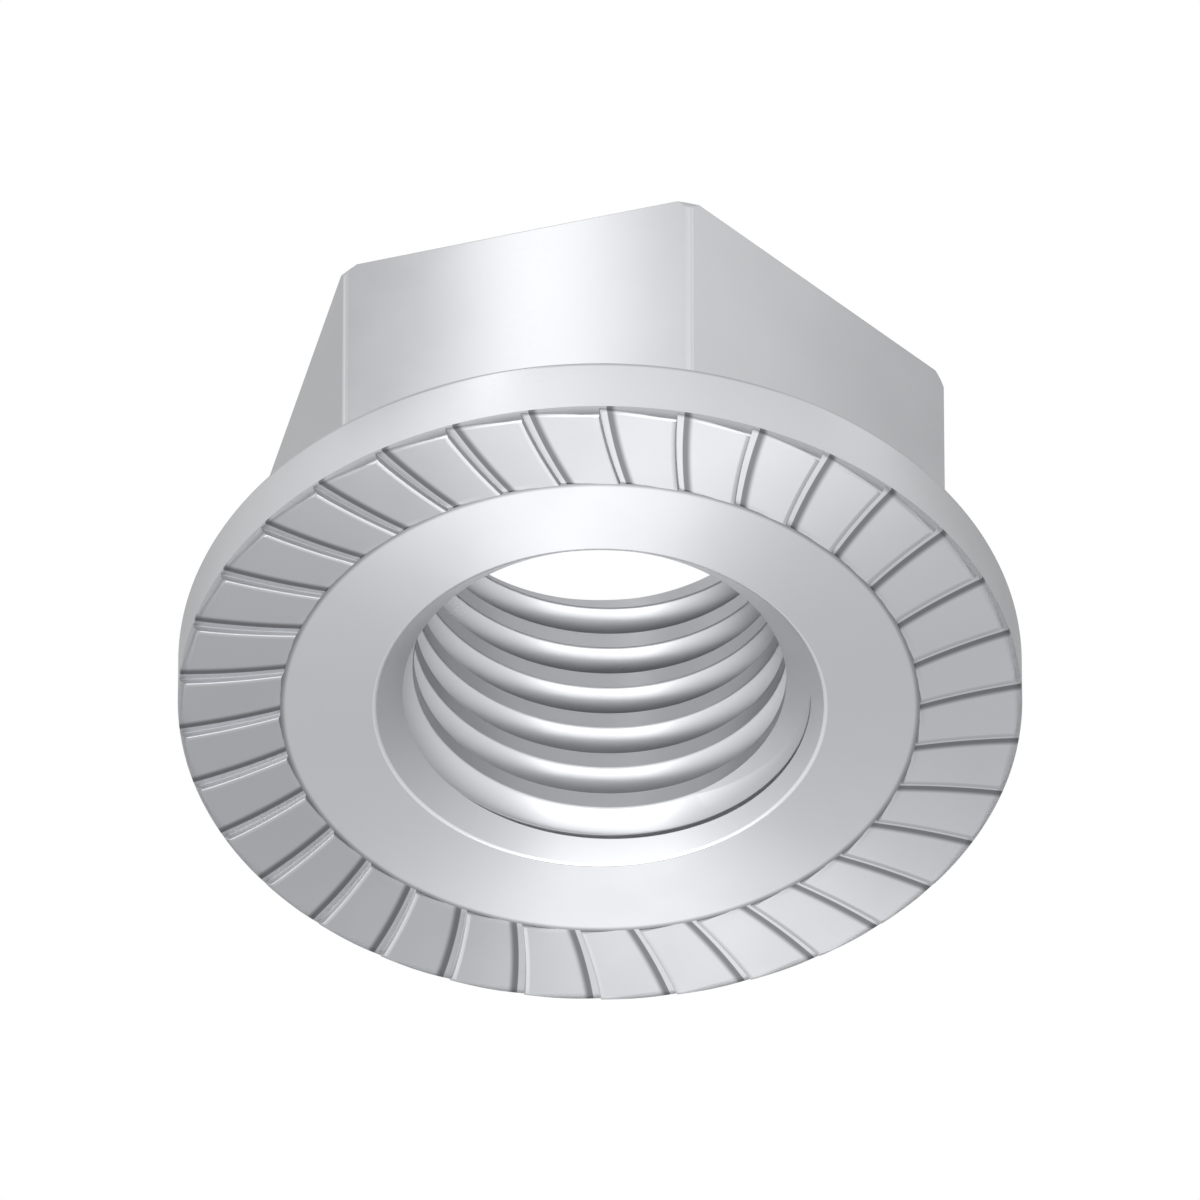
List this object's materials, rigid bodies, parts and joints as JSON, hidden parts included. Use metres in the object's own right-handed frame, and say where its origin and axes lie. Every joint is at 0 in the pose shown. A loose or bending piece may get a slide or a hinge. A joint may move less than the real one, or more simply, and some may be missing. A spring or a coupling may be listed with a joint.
{
  "type": "serrated flange nut",
  "caption": "Hexagon nut with a broad round flange, slanted ratchet teeth on its bearing face and a coarse right-hand thread countersunk at both ends.",
  "frame": {"origin": "centre of the bearing face, on the thread's axis at the level of the tooth tips", "axes": "+Z along the thread's axis from the flange to the end of the hexagon, +X through a corner of the hexagon"},
  "size_m": [0.0381, 0.038, 0.017],
  "materials": {
    "nut": "bright zinc-plated steel, satin"
  },
  "bodies": {
    "root": {"nut": "nut"}
  },
  "joints": []
}
